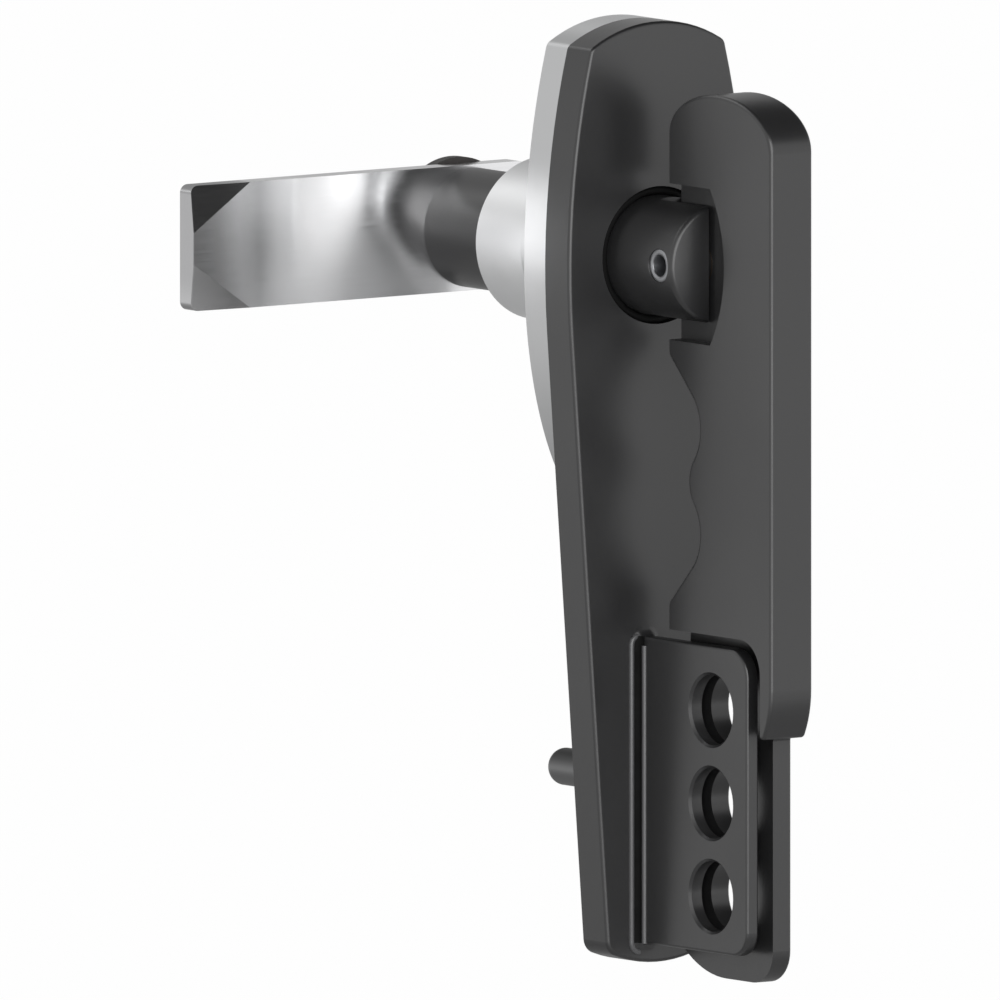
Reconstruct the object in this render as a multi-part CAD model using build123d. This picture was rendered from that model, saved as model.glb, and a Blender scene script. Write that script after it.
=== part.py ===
from build123d import *
import math
import os

# Swing handle lock for a cabinet door, in millimetres.
# The origin is the centre of the collar at the face that seats on the door panel.
# +Z is up, the front of the door is -Y, and the spindle turns about the Y axis.

# --- plates ---------------------------------------------------------------------------
flange_thickness = 6.0
base_thickness = 6.5
base_half_width = 17.7
bulge_centre_z = -1.6
bulge_radius = 142.0
side_taper = 4.2
base_top_z = 37.6
top_crown_radius = 25.0
base_bottom_z = -113.8
bottom_crown_radius = 24.0
top_corner_radius = 1.6
bottom_corner_radius = 2.6
base_edge_radius = 0.6
flange_tail_length = 43.2
flange_edge_chamfer = 0.3
core_depth = 4.0
core_wall = 2.4
core_rib = 1.6
core_rib_pitch = 13.0
core_top_z = -50.0
core_bottom_gap = 3.4

# --- collar and spindle ---------------------------------------------------------------
spindle_diameter = 19.2
running_gap = 0.05
collar_diameter = 26.2
collar_length = 19.8
collar_chamfer = 0.6
hub_height = 16.6
hub_edge_radius = 0.7
spindle_tail = 31.8
slot_width = 4.2
slot_floor_height = 3.2
pivot_height = 13.0
pivot_pin_diameter = 5.4
pivot_pin_wall = 1.0
pivot_pin_recess = 0.25

# --- bushes, seals and the axial stack in the flange pocket ---------------------------
base_bore_diameter = 22.2
front_seal_section = 1.3
front_seal_recess = 0.35
rear_bush_diameter = 22.4
rear_bush_length = 6.0
spindle_seal_section = 1.54
spindle_seal_y = 5.0
groove_side_gap = 0.4
groove_depth_gap = 0.08
pocket_diameter = 24.4
washer_diameter = 23.6
washer_bore_gap = 0.12
thrust_washer_thickness = 0.5
wave_washer_thickness = 0.35
wave_washer_rise = 0.45
circlip_thickness = 1.2
circlip_groove_depth = 0.7
circlip_radial_width = 2.6
circlip_mouth = 5.0
axial_gap = 0.05
stop_pin_diameter = 2.0
stop_pin_reach = 13.4
stop_pin_root = 5.5
stop_slot_radius = 13.9
stop_slot_gap = 0.15
panel_seal_radius = 15.85
panel_seal_section = 1.5
base_seal_radius = 15.2
base_seal_section = 1.3

# --- cam and its fastening ------------------------------------------------------------
tenon_width = 12.0
tenon_gap = 0.05
tenon_corner_radius = 7.6
cam_spacer_length = 6.3
cam_thickness = 3.9
cam_width = 20.2
cam_reach = 55.2
cam_heel = 12.0
cam_tip_radius = 1.4
cam_heel_radius = 3.0
cam_edge_radius = 0.3
lead_in_rise = 7.6
lead_in_run = 11.2
lead_in_depth = 0.9
cam_washer_diameter = 22.0
cam_washer_flat_drop = 9.6
cam_washer_thickness = 2.0
cam_bolt_diameter = 8.0
cam_bolt_head_width = 13.0
cam_bolt_head_height = 5.3
cam_bolt_length = 20.0
cam_bolt_hole_gap = 2.0
cam_washer_hole_gap = 0.2
spring_washer_diameter = 14.8
spring_washer_thickness = 2.0
spring_washer_slit = 1.2

# --- handle blade ---------------------------------------------------------------------
blade_thickness = 8.3
blade_back_height = 8.3
blade_front_height = 36.3
blade_edge_radius = 0.6
heel_top_z = 27.8
heel_apex_height = 21.6
heel_back_rise = 7.0
heel_front_rise = 8.3
web_thickness = 3.0
window_half_length = 12.6
window_front_height = 19.7
window_bulge = 3.8
finger_scoop_radius = 7.5
finger_scoop_depth_height = 16.7
finger_scoop_top_z = -26.5
finger_scoop_pitch = 16.9
finger_ridge_height = 13.7
finger_mouth_radius = 1.5
visor_bottom_z = -74.9
visor_nose_radius = 16.0
visor_nose_drop = 7.9
visor_thickness = 3.0
fin_window_top_z = -59.2
fin_window_radius = 5.5
tongue_set_back = 5.7
tongue_back_height = 5.2
tongue_bottom_z = -114.9
tongue_front_radius = 5.4
tongue_back_radius = 19.0
tongue_inner_x = 0.4
tongue_neck_radius = 30.0
blade_corner_radius = 0.8
lift_limit = 22.0
turn_limit = 90.0

# --- hasp fin and padlock holes -------------------------------------------------------
fin_left_x = -3.85
fin_thickness = 2.35
fin_height = 29.4
fin_top_z = -61.0
fin_bottom_z = -110.4
fin_top_radius = 4.8
fin_bottom_radius = 4.0
fin_root_radius = 1.5
fin_edge_radius = 0.5
padlock_hole_diameter = 11.4
padlock_hole_height = 19.5
padlock_hole_top_z = -71.3
padlock_hole_pitch = 15.0
padlock_hole_count = 3
padlock_hole_chamfer = 0.4

# --- pivot bush, friction washers, screws and stud -------------------------------------
pivot_bush_wall = 1.0
pivot_running_gap = 0.05
friction_washer_diameter = 7.2
friction_washer_thickness = 0.5
base_screw_places = [(0.0, 29.0), (-9.0, -26.0), (9.0, -26.0)]
base_screw_diameter = 4.0
base_screw_head_diameter = 7.4
base_screw_head_height = 2.1
base_screw_length = 10.5
base_screw_socket_width = 2.5
base_screw_socket_depth = 1.6
screw_hole_gap = 0.1
fixing_hole_spacing = 18.0
fixing_hole_z = 24.5
fixing_hole_diameter = 4.2
fixing_hole_depth = 10.0
stud_diameter = 6.0
stud_z = -84.5
stud_reach = 14.9
stud_spigot_diameter = 5.0
stud_spigot_length = 3.6
stud_dome_radius = 2.2
stud_boss_wall = 2.5

# --- places worked out from the sizes above ---------------------------------------------
base_back = -flange_thickness
base_front = base_back - base_thickness
hub_front = base_front - hub_height
pivot_y = base_front - pivot_height
spindle_radius = spindle_diameter / 2
bore_radius = spindle_radius + running_gap
blade_half = blade_thickness / 2
tongue_front_height = blade_front_height - tongue_set_back
web_half = web_thickness / 2
cam_front = spindle_tail + cam_spacer_length
cam_back = cam_front + cam_thickness
thrust_washer_back = base_back + thrust_washer_thickness
wave_washer_back = thrust_washer_back + wave_washer_thickness + wave_washer_rise
circlip_front = wave_washer_back + axial_gap
circlip_back = circlip_front + circlip_thickness
pocket_floor = circlip_back + axial_gap
stop_pin_y = pocket_floor + stop_slot_gap + stop_pin_diameter / 2
stop_slot_floor = stop_pin_y + stop_pin_diameter / 2 + stop_slot_gap


def facing(y):
    """Plane that faces the front at y, with local x to the right and local y up."""
    return Plane(origin=(0, y, 0), x_dir=(1, 0, 0), z_dir=(0, -1, 0))


def sideways(x):
    """Plane that faces left at x. Local x is the height above the base, local y is up."""
    return Plane(origin=(x, base_front, 0), x_dir=(0, -1, 0), z_dir=(-1, 0, 0))


def slab(sketch, y_back, y_front):
    """Sketch of the front view, made solid between two values of Y."""
    return extrude(facing(y_back) * sketch, y_back - y_front)


def disc(radius, y_back, y_front):
    """Round solid on the spindle axis."""
    return slab(Circle(radius), y_back, y_front)


def ring(outer, inner, y_back, y_front):
    """Round ring on the spindle axis."""
    return disc(outer, y_back, y_front) - disc(inner, y_back, y_front)


def side_slab(sketch, x_left, x_right):
    """Sketch of the side view, made solid between two values of X."""
    return extrude(sideways(x_right) * sketch, x_right - x_left)


def seal_ring(radius, section, y):
    """Round-section sealing ring about the spindle axis."""
    axis_plane = Plane(origin=(0, y, 0), x_dir=(1, 0, 0), z_dir=(0, -1, 0))
    return axis_plane * Torus(radius, section / 2)


def outline_sketch():
    """Front outline of the base: bulged sides that taper down between two crowned ends."""
    lean = math.radians(side_taper)
    taper_start = (
        base_half_width - bulge_radius * (1 - math.cos(lean)),
        bulge_centre_z - bulge_radius * math.sin(lean),
    )
    drop = taper_start[1] - base_bottom_z + top_crown_radius
    taper_end = (taper_start[0] - drop * math.tan(lean), taper_start[1] - drop)
    rise = base_top_z + 1 - bulge_centre_z
    arc_top = (
        base_half_width - bulge_radius + math.sqrt(bulge_radius**2 - rise**2),
        bulge_centre_z + rise,
    )
    right = [
        Line(taper_end, taper_start),
        ThreePointArc(taper_start, (base_half_width, bulge_centre_z), arc_top),
    ]
    left = [mirror(edge, Plane.YZ) for edge in right]
    top = Line(arc_top, (-arc_top[0], arc_top[1]))
    bottom = Line(taper_end, (-taper_end[0], taper_end[1]))
    sides = make_face(Curve() + [*right, *left, top, bottom])
    top_centre = base_top_z - top_crown_radius
    bottom_centre = base_bottom_z + bottom_crown_radius
    middle = Pos(0, (top_centre + bottom_centre) / 2) * Rectangle(
        4 * base_half_width, top_centre - bottom_centre
    )
    ends = Pos(0, top_centre) * Circle(top_crown_radius)
    ends += Pos(0, bottom_centre) * Circle(bottom_crown_radius)
    outline = sides & (ends + middle)
    corners = outline.vertices().sort_by(Axis.Y)
    outline = fillet(corners[:2], bottom_corner_radius)
    corners = outline.vertices().sort_by(Axis.Y)
    return fillet(corners[-2:], top_corner_radius)


def rounded_corner(sketch, point, radius):
    """Fillets the vertex of a sketch that lies nearest to a point."""
    nearest = min(sketch.vertices(), key=lambda v: (v.center() - Vector(*point)).length)
    return fillet(nearest, radius)


def fin_sketch():
    """Side outline of the hasp fin, rooted a little below the face of the base."""
    root = -1.0
    mid_z = (fin_top_z + fin_bottom_z) / 2
    plate = Pos((fin_height + root) / 2, mid_z) * Rectangle(
        fin_height - root, fin_top_z - fin_bottom_z
    )
    plate = rounded_corner(plate, (fin_height, fin_top_z), fin_top_radius)
    return rounded_corner(plate, (fin_height, fin_bottom_z), fin_bottom_radius)


def padlock_holes_sketch(radius):
    """The row of padlock holes in side view."""
    holes = [
        Pos(padlock_hole_height, padlock_hole_top_z - i * padlock_hole_pitch) * Circle(radius)
        for i in range(padlock_hole_count)
    ]
    return Sketch() + holes


def core_sketch():
    """Cored-out cells in the back of the base, between ribs and clear of the stud boss."""
    inside = offset(outline_sketch(), -core_wall)
    core_bottom = base_bottom_z + core_bottom_gap
    height = core_top_z - core_bottom
    window = Pos(0, core_top_z - height / 2) * Rectangle(4 * base_half_width, height)
    cells = inside & window
    cells -= Pos(0, stud_z) * Circle(stud_diameter / 2 + stud_boss_wall)
    rib_count = int(height / core_rib_pitch)
    first_rib = stud_z + core_rib_pitch * int((core_top_z - stud_z) / core_rib_pitch)
    for i in range(rib_count + 1):
        rib_z = first_rib - i * core_rib_pitch
        cells -= Pos(0, rib_z) * Rectangle(4 * base_half_width, core_rib)
    return cells


def base_plate():
    """Cast base with the spindle bore and the fixed hasp fin."""
    plate = slab(outline_sketch(), base_back, base_front)
    front_edges = plate.faces().sort_by(Axis.Y)[0].edges()
    plate = fillet(front_edges, base_edge_radius)
    fin = side_slab(fin_sketch(), fin_left_x, fin_left_x + fin_thickness)
    rim = fin.edges().filter_by(
        lambda e: e.center().Y < base_front - fin_root_radius - 0.1
        and abs(e.tangent_at(0.5).X) < 0.5
    )
    fin = fillet(rim, fin_edge_radius)
    body = plate + fin
    root = body.edges().filter_by(
        lambda e: abs(e.center().Y - base_front) < 1e-3
        and fin_left_x - 0.01 < e.center().X < fin_left_x + fin_thickness + 0.01
        and fin_bottom_z - 0.01 < e.center().Z < fin_top_z + 0.01
    )
    body = fillet(root, fin_root_radius)
    holes = padlock_holes_sketch(padlock_hole_diameter / 2)
    body -= side_slab(holes, fin_left_x - 1, fin_left_x + fin_thickness + 1)
    body = chamfer(hole_rims(body, fin_left_x), padlock_hole_chamfer)
    body -= disc(base_bore_diameter / 2, base_back + 1, base_front - 1)
    body -= slab(core_sketch(), base_back + 1, base_back - core_depth)
    body -= stud_spigot()
    for x, z in base_screw_places:
        depth = base_screw_length - flange_thickness
        shank = Pos(x, z) * Circle(base_screw_diameter / 2)
        body -= slab(shank, base_back + 1, base_back - depth)
    body -= fixing_holes()
    return body


def hole_rims(body, x):
    """Edges where the padlock holes break out through a face at x."""
    return body.edges().filter_by(GeomType.CIRCLE).filter_by(
        lambda e: abs(e.center().X - x) < 1e-3
        and abs(e.radius - padlock_hole_diameter / 2) < 1e-3
    )


def fixing_holes():
    """Two tapped holes for the screws that hold the lock to the door."""
    places = GridLocations(fixing_hole_spacing, 1, 2, 1)
    holes = Sketch() + places * Circle(fixing_hole_diameter / 2)
    return slab(Pos(0, fixing_hole_z) * holes, 1, -fixing_hole_depth)


def stop_slot_sketch():
    """Sector in which the spindle's stop pin sweeps from closed to open."""
    half_pin = math.degrees((stop_pin_diameter / 2 + stop_slot_gap) / spindle_radius)
    # The closed stop pin points straight down and the spindle turns it to the right.
    start, end = -90 - half_pin, -90 + turn_limit + half_pin
    mid = (start + end) / 2

    def at(angle):
        return (
            stop_slot_radius * math.cos(math.radians(angle)),
            stop_slot_radius * math.sin(math.radians(angle)),
        )

    sector = [Line((0, 0), at(start)), ThreePointArc(at(start), at(mid), at(end)), Line(at(end), (0, 0))]
    return make_face(Curve() + sector)


def mounting_flange():
    """Leaf-shaped flange with the collar that passes through the door."""
    tail = Pos(0, bulge_centre_z) * Ellipse(base_half_width, flange_tail_length)
    upper_height = base_top_z - bulge_centre_z + 1
    upper = Pos(0, bulge_centre_z + upper_height / 2) * Rectangle(4 * base_half_width, upper_height)
    leaf = outline_sketch() & (tail + upper)
    body = slab(leaf, 0, base_back)
    back_rim = body.faces().sort_by(Axis.Y)[-1].outer_wire().edges()
    body = chamfer(back_rim, flange_edge_chamfer)
    collar = disc(collar_diameter / 2, collar_length, -1)
    collar_rim = collar.edges().group_by(Axis.Y)[-1]
    body += chamfer(collar_rim, collar_chamfer)
    body -= disc(bore_radius, collar_length + 1, base_back - 1)
    body -= disc(pocket_diameter / 2, pocket_floor, base_back - 1)
    body -= slab(stop_slot_sketch(), stop_slot_floor, pocket_floor - 0.1)
    body -= disc(rear_bush_diameter / 2, collar_length + 1, collar_length - rear_bush_length)
    panel_groove = panel_seal_section + groove_side_gap
    body -= ring(
        panel_seal_radius + panel_groove / 2,
        panel_seal_radius - panel_groove / 2,
        1,
        -panel_seal_section - groove_depth_gap,
    )
    base_groove = base_seal_section + groove_side_gap
    body -= ring(
        base_seal_radius + base_groove / 2,
        base_seal_radius - base_groove / 2,
        base_back + base_seal_section + groove_depth_gap,
        base_back - 1,
    )
    for x, z in base_screw_places:
        body -= screw_solid(x, z, screw_hole_gap)
    body -= fixing_holes()
    return body


def screw_solid(x, z, gap):
    """Countersunk screw from the back of the flange, or its hole with a gap around it."""
    shank = slab(Pos(x, z) * Circle(base_screw_diameter / 2 + gap), 0, -base_screw_length)
    head_plane = Plane(origin=(x, 0, z), x_dir=(1, 0, 0), z_dir=(0, -1, 0))
    head = head_plane * Cone(
        base_screw_head_diameter / 2 + gap,
        base_screw_diameter / 2 + gap,
        base_screw_head_height + gap,
        align=(Align.CENTER, Align.CENTER, Align.MIN),
    )
    return shank + head


def base_screws():
    """Countersunk socket screws that hold the flange to the base."""
    screws = []
    for x, z in base_screw_places:
        socket = Pos(x, z) * RegularPolygon(base_screw_socket_width / 2, 6, major_radius=False)
        screws.append(screw_solid(x, z, 0) - slab(socket, 1, -base_screw_socket_depth))
    return Compound(children=[s.solids()[0] for s in screws])


def stud_spigot():
    """Reduced end of the locating stud, seated in the boss of the base."""
    round_end = Pos(0, stud_z) * Circle(stud_spigot_diameter / 2)
    return slab(round_end, base_back + stud_dome_radius, base_back - stud_spigot_length)


def locating_stud():
    """Locating stud that stands on the boss of the base, domed at its free end."""
    bar = slab(Pos(0, stud_z) * Circle(stud_diameter / 2), stud_reach, base_back)
    tip = bar.edges().sort_by(Axis.Y)[-1]
    return fillet(tip, stud_dome_radius) + stud_spigot()


def front_bush():
    """Plain bush that carries the hub in the base."""
    bush_front = base_front + front_seal_recess + front_seal_section + groove_side_gap / 4
    return ring(base_bore_diameter / 2, bore_radius, base_back, bush_front)


def front_seal():
    """Weather seal between the hub and the base, in front of the bush."""
    middle = (base_bore_diameter / 2 + spindle_radius) / 2
    centre_y = base_front + front_seal_recess + front_seal_section / 2
    return seal_ring(middle, front_seal_section, centre_y)


def rear_bush():
    """Plain bush in the rear end of the collar."""
    return ring(
        rear_bush_diameter / 2, bore_radius, collar_length, collar_length - rear_bush_length
    )


def panel_seal():
    """Sealing ring between the flange and the door."""
    centre_y = -panel_seal_section / 2 - groove_depth_gap / 2
    return seal_ring(panel_seal_radius, panel_seal_section, centre_y)


def base_seal():
    """Sealing ring between the base and the flange."""
    centre_y = base_back + base_seal_section / 2 + groove_depth_gap / 2
    return seal_ring(base_seal_radius, base_seal_section, centre_y)


def spindle_seal_groove():
    """Radius at the foot of the groove that holds the spindle's own seal."""
    return bore_radius - spindle_seal_section - groove_depth_gap


def spindle_seal():
    """Sealing ring in the spindle's groove, inside the collar."""
    middle = spindle_seal_groove() + groove_depth_gap / 2 + spindle_seal_section / 2
    return seal_ring(middle, spindle_seal_section, spindle_seal_y)


def spindle():
    """Spindle with the slotted hub at the front and a square tenon for the cam."""
    body = disc(spindle_radius, spindle_tail, hub_front)
    nose = body.edges().sort_by(Axis.Y)[0]
    body = fillet(nose, hub_edge_radius)
    tenon = Rectangle(tenon_width, tenon_width) & Circle(tenon_corner_radius)
    body += slab(tenon, cam_back - axial_gap, spindle_tail - 1)
    slot_length = 2 * spindle_diameter
    slot_mid = (hub_height + slot_floor_height) / 2 + 1
    slot_box = Pos(slot_mid, 0) * Rectangle(hub_height - slot_floor_height + 2, slot_length)
    body -= side_slab(slot_box, -slot_width / 2, slot_width / 2)
    body -= pin_hole()
    seal_half = (spindle_seal_section + groove_side_gap) / 2
    body -= ring(
        spindle_radius + 1,
        spindle_seal_groove(),
        spindle_seal_y + seal_half,
        spindle_seal_y - seal_half,
    )
    body -= ring(
        spindle_radius + 1, spindle_radius - circlip_groove_depth, circlip_back, circlip_front
    )
    body -= stop_pin()
    bolt_end = cam_back + cam_washer_thickness + spring_washer_thickness - cam_bolt_length
    body -= disc(cam_bolt_diameter / 2, cam_back + 1, bolt_end - cam_bolt_hole_gap)
    return body


def pin_hole():
    """Cross hole of the hub, at the pivot."""
    cross = Pos(pivot_height, 0) * Circle(pivot_pin_diameter / 2)
    return side_slab(cross, -spindle_diameter, spindle_diameter)


def pivot_pin():
    """Hollow pin through the hub, on which the blade lifts."""
    tube = Circle(pivot_pin_diameter / 2) - Circle(pivot_pin_diameter / 2 - pivot_pin_wall)
    half_length = spindle_radius - pivot_pin_recess
    return side_slab(Pos(pivot_height, 0) * tube, -half_length, half_length)


def thrust_washer():
    """Thin washer against the back of the base."""
    return ring(
        washer_diameter / 2, spindle_radius + washer_bore_gap, thrust_washer_back, base_back
    )


def wave_washer():
    """Curved spring washer that keeps the spindle seated, bent about the X axis."""
    inner_curve = washer_diameter**2 / (8 * wave_washer_rise)
    crest_y = wave_washer_back
    centre = Pos(0, crest_y - inner_curve - wave_washer_thickness, 0) * Rot(0, 90, 0)
    outer_roll = centre * Cylinder(inner_curve + wave_washer_thickness, washer_diameter * 2)
    inner_roll = centre * Cylinder(inner_curve, washer_diameter * 2)
    band = ring(
        washer_diameter / 2, spindle_radius + washer_bore_gap, wave_washer_back + 1, base_back
    )
    return band & (outer_roll - inner_roll)


def spindle_circlip():
    """Retaining ring that carries the spindle's axial load, open at the bottom left."""
    inner = spindle_radius - circlip_groove_depth
    band = ring(inner + circlip_radial_width, inner, circlip_back, circlip_front)
    mouth = Pos(-inner - circlip_radial_width / 2, 0) * Rectangle(
        circlip_radial_width + 3, circlip_mouth
    )
    return band - slab(mouth, circlip_back + 1, circlip_front - 1)


def stop_pin():
    """Radial pin in the spindle that meets the ends of the stop slot."""
    plane = Plane(origin=(0, stop_pin_y, -stop_pin_root), x_dir=(1, 0, 0), z_dir=(0, 0, -1))
    return extrude(plane * Circle(stop_pin_diameter / 2), stop_pin_reach - stop_pin_root)


def tenon_hole():
    """Square hole of the pieces that the tenon drives."""
    side = tenon_width + 2 * tenon_gap
    return Rectangle(side, side) & Circle(tenon_corner_radius + tenon_gap)


def cam_spacer():
    """Sleeve between the end of the round spindle and the cam."""
    return slab(Circle(spindle_radius) - tenon_hole(), cam_front, spindle_tail)


def cam():
    """Flat steel cam that reaches behind the door frame, with lead-in facets at its tip."""
    middle_x = (cam_heel - cam_reach) / 2
    bar = Pos(middle_x, 0) * Rectangle(cam_reach + cam_heel, cam_width)
    for side in (-1, 1):
        bar = rounded_corner(bar, (cam_heel, side * cam_width / 2), cam_heel_radius)
        bar = rounded_corner(bar, (-cam_reach, side * cam_width / 2), cam_tip_radius)
    plate = slab(bar, cam_back, cam_front)
    for side in (-1, 1):
        plate -= lead_in_cut(side)
    rims = plate.faces().sort_by(Axis.Y)[-1].edges()
    plate = fillet(rims, cam_edge_radius)
    return plate - slab(tenon_hole(), cam_back + 1, cam_front - 1)


def lead_in_cut(side):
    """Wedge that facets one front corner of the cam's tip."""
    low = Vector(-cam_reach, cam_front, side * (cam_width / 2 - lead_in_rise))
    far = Vector(lead_in_run - cam_reach, cam_front, side * cam_width / 2)
    deep = Vector(-cam_reach, cam_front + lead_in_depth, side * cam_width / 2)
    normal = (far - low).cross(deep - low).normalized()
    if normal.Y > 0:
        normal = -normal
    facet = Plane(origin=low, z_dir=normal)
    return facet * Box(
        cam_reach, cam_reach, cam_thickness, align=(Align.CENTER, Align.CENTER, Align.MIN)
    )


def cam_washer():
    """Large washer behind the cam, with a flat on its lower side."""
    hole = cam_bolt_diameter / 2 + cam_washer_hole_gap
    front = cam_back + cam_washer_thickness
    body = ring(cam_washer_diameter / 2, hole, front, cam_back)
    below = Pos(0, -cam_washer_flat_drop - cam_washer_diameter / 2)
    below *= Rectangle(2 * cam_washer_diameter, cam_washer_diameter)
    return body - slab(below, cam_back - 1, front + 1)


def spring_washer():
    """Split lock washer under the head of the cam bolt."""
    front = cam_back + cam_washer_thickness
    back = front + spring_washer_thickness
    outer = spring_washer_diameter / 2
    band = ring(outer, cam_bolt_diameter / 2 + cam_washer_hole_gap, back, front)
    slit = Pos(outer / 2 + 1, 0) * Rectangle(outer + 2, spring_washer_slit)
    return band - slab(slit, back + 1, front - 1)


def cam_bolt():
    """Hexagon bolt that clamps the cam to the spindle."""
    seat = cam_back + cam_washer_thickness + spring_washer_thickness
    head_sketch = RegularPolygon(cam_bolt_head_width / 2, 6, major_radius=False)
    head = slab(head_sketch, seat + cam_bolt_head_height, seat)
    return head + disc(cam_bolt_diameter / 2, seat + 1, seat - cam_bolt_length)


def arc_about(centre, radius, start, end):
    """Circular arc from one angle to another, in degrees."""
    angles = [math.radians(a) for a in (start, (start + end) / 2, end)]
    points = [
        (centre[0] + radius * math.cos(a), centre[1] + radius * math.sin(a)) for a in angles
    ]
    return ThreePointArc(*points)


def finger_recess():
    """Two finger scoops with a ridge between them, as edges from the lower mouth to the upper."""
    scoop_x = finger_scoop_depth_height - finger_scoop_radius
    low_z = finger_scoop_top_z - finger_scoop_pitch
    half_pitch = finger_scoop_pitch / 2
    offset_x = finger_ridge_height - scoop_x
    ridge_radius = (offset_x**2 + half_pitch**2 - finger_scoop_radius**2) / (
        2 * (finger_scoop_radius - offset_x)
    )
    # The ridge arc touches both scoops, so its centre lies on the line through each centre.
    ridge_angle = math.degrees(math.atan2(half_pitch, offset_x + ridge_radius))
    low = arc_about((scoop_x, low_z), finger_scoop_radius, -45, ridge_angle)
    high = arc_about((scoop_x, finger_scoop_top_z), finger_scoop_radius, -ridge_angle, 45)
    ridge_centre = (finger_ridge_height + ridge_radius, finger_scoop_top_z - half_pitch)
    ridge = arc_about(ridge_centre, ridge_radius, 180 + ridge_angle, 180 - ridge_angle)
    low_end, high_end = low @ 0, high @ 1
    low_mouth = (blade_back_height, low_end.Y - (low_end.X - blade_back_height))
    high_mouth = (blade_back_height, high_end.Y + (high_end.X - blade_back_height))
    edges = [Line(low_mouth, low_end), low, ridge, high, Line(high_end, high_mouth)]
    return edges, low_mouth, high_mouth


def blade_sketch():
    """Side outline of the blade, from the heel over the hub down to the tongue."""
    recess, low_mouth, high_mouth = finger_recess()
    back_shoulder = (blade_back_height, heel_top_z - heel_back_rise)
    front_shoulder = (blade_front_height, heel_top_z - heel_front_rise)
    heel_back = EllipticalCenterArc(
        (heel_apex_height, back_shoulder[1]),
        heel_apex_height - blade_back_height,
        heel_back_rise,
        start_angle=90,
        arc_size=90,
    )
    heel_front = EllipticalCenterArc(
        (heel_apex_height, front_shoulder[1]),
        blade_front_height - heel_apex_height,
        heel_front_rise,
        start_angle=0,
        arc_size=90,
    )
    nose_top = (blade_front_height, visor_bottom_z + visor_nose_drop)
    nose_set_back = visor_nose_radius - math.sqrt(visor_nose_radius**2 - visor_nose_drop**2)
    nose_bottom = (blade_front_height - nose_set_back, visor_bottom_z)
    nose_sweep = math.degrees(math.asin(visor_nose_drop / visor_nose_radius))
    nose_centre = (blade_front_height - visor_nose_radius, nose_top[1])
    nose = arc_about(nose_centre, visor_nose_radius, 0, -nose_sweep)
    tongue_shoulder = (tongue_front_height, visor_bottom_z)
    corner_centre = (tongue_front_height - tongue_front_radius, tongue_bottom_z + tongue_front_radius)
    corner = arc_about(corner_centre, tongue_front_radius, 0, -90)
    sweep_centre = (tongue_back_radius - 1, tongue_bottom_z + tongue_back_radius)
    sweep_angle = math.degrees(
        math.acos((sweep_centre[0] - tongue_back_height) / tongue_back_radius)
    )
    sweep = arc_about(sweep_centre, tongue_back_radius, -90, -180 + sweep_angle)
    sweep_end = ((sweep @ 1).X, (sweep @ 1).Y)
    neck = (blade_back_height, fin_window_top_z)
    edges = [
        Line(high_mouth, back_shoulder),
        heel_back,
        heel_front,
        Line(front_shoulder, nose_top),
        nose,
        Line(nose_bottom, tongue_shoulder),
        Line(tongue_shoulder, corner @ 0),
        corner,
        Line(corner @ 1, sweep @ 0),
        sweep,
        Line(sweep_end, neck),
        Line(neck, low_mouth),
        *recess,
    ]
    outline = make_face(Curve() + edges)
    for corner_point in (nose_bottom, tongue_shoulder, sweep_end):
        outline = rounded_corner(outline, corner_point, blade_corner_radius)
    outline = rounded_corner(outline, neck, tongue_neck_radius)
    outline = rounded_corner(outline, low_mouth, finger_mouth_radius)
    return rounded_corner(outline, high_mouth, finger_mouth_radius)


def hub_window_sketch():
    """Side outline of the windows that clear the cheeks of the hub."""
    top = (window_front_height, window_half_length)
    low = (window_front_height, -window_half_length)
    open_side = -1.0
    edges = [
        Line((open_side, -window_half_length), low),
        ThreePointArc(low, (window_front_height + window_bulge, 0), top),
        Line(top, (open_side, window_half_length)),
        Line((open_side, window_half_length), (open_side, -window_half_length)),
    ]
    return make_face(Curve() + edges)


def handle_blade():
    """Flat blade that lifts out of line with the fin and then turns the spindle."""
    body = side_slab(blade_sketch(), -blade_half, blade_half)
    rims = body.faces().filter_by(Axis.X).edges()
    body = fillet(rims, blade_edge_radius)
    window = hub_window_sketch()
    body -= side_slab(window, -blade_half - 1, -web_half)
    body -= side_slab(window, web_half, blade_half + 1)
    visor_inside = blade_front_height - visor_thickness
    clearance_height = visor_inside + 5.0
    clearance_depth = fin_window_top_z - tongue_bottom_z + 5.0
    fin_window = Pos(visor_inside - clearance_height / 2, fin_window_top_z - clearance_depth / 2)
    fin_window = fin_window * Rectangle(clearance_height, clearance_depth)
    fin_window = rounded_corner(fin_window, (visor_inside, fin_window_top_z), fin_window_radius)
    body -= side_slab(fin_window, -blade_half - 1, tongue_inner_x)
    bush_hole = Pos(pivot_height, 0) * Circle(pivot_pin_diameter / 2 + pivot_bush_wall)
    body -= side_slab(bush_hole, -blade_thickness, blade_thickness)
    holes = padlock_holes_sketch(padlock_hole_diameter / 2)
    body -= side_slab(holes, -blade_half - 1, blade_half + 1)
    return chamfer(hole_rims(body, blade_half), padlock_hole_chamfer)


def pivot_bush():
    """Bronze bush in the web of the blade."""
    outer = Circle(pivot_pin_diameter / 2 + pivot_bush_wall)
    wall = outer - Circle(pivot_pin_diameter / 2 + pivot_running_gap)
    return side_slab(Pos(pivot_height, 0) * wall, -web_half, web_half)


def friction_washers():
    """Pair of washers between the web and the cheeks that hold the blade where it is put."""
    face = Circle(friction_washer_diameter / 2)
    face -= Circle(pivot_pin_diameter / 2 + pivot_running_gap)
    place = Pos(pivot_height, 0) * face
    left = side_slab(place, -web_half - friction_washer_thickness, -web_half)
    right = side_slab(place, web_half, web_half + friction_washer_thickness)
    return Compound(children=[left.solids()[0], right.solids()[0]])


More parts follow.
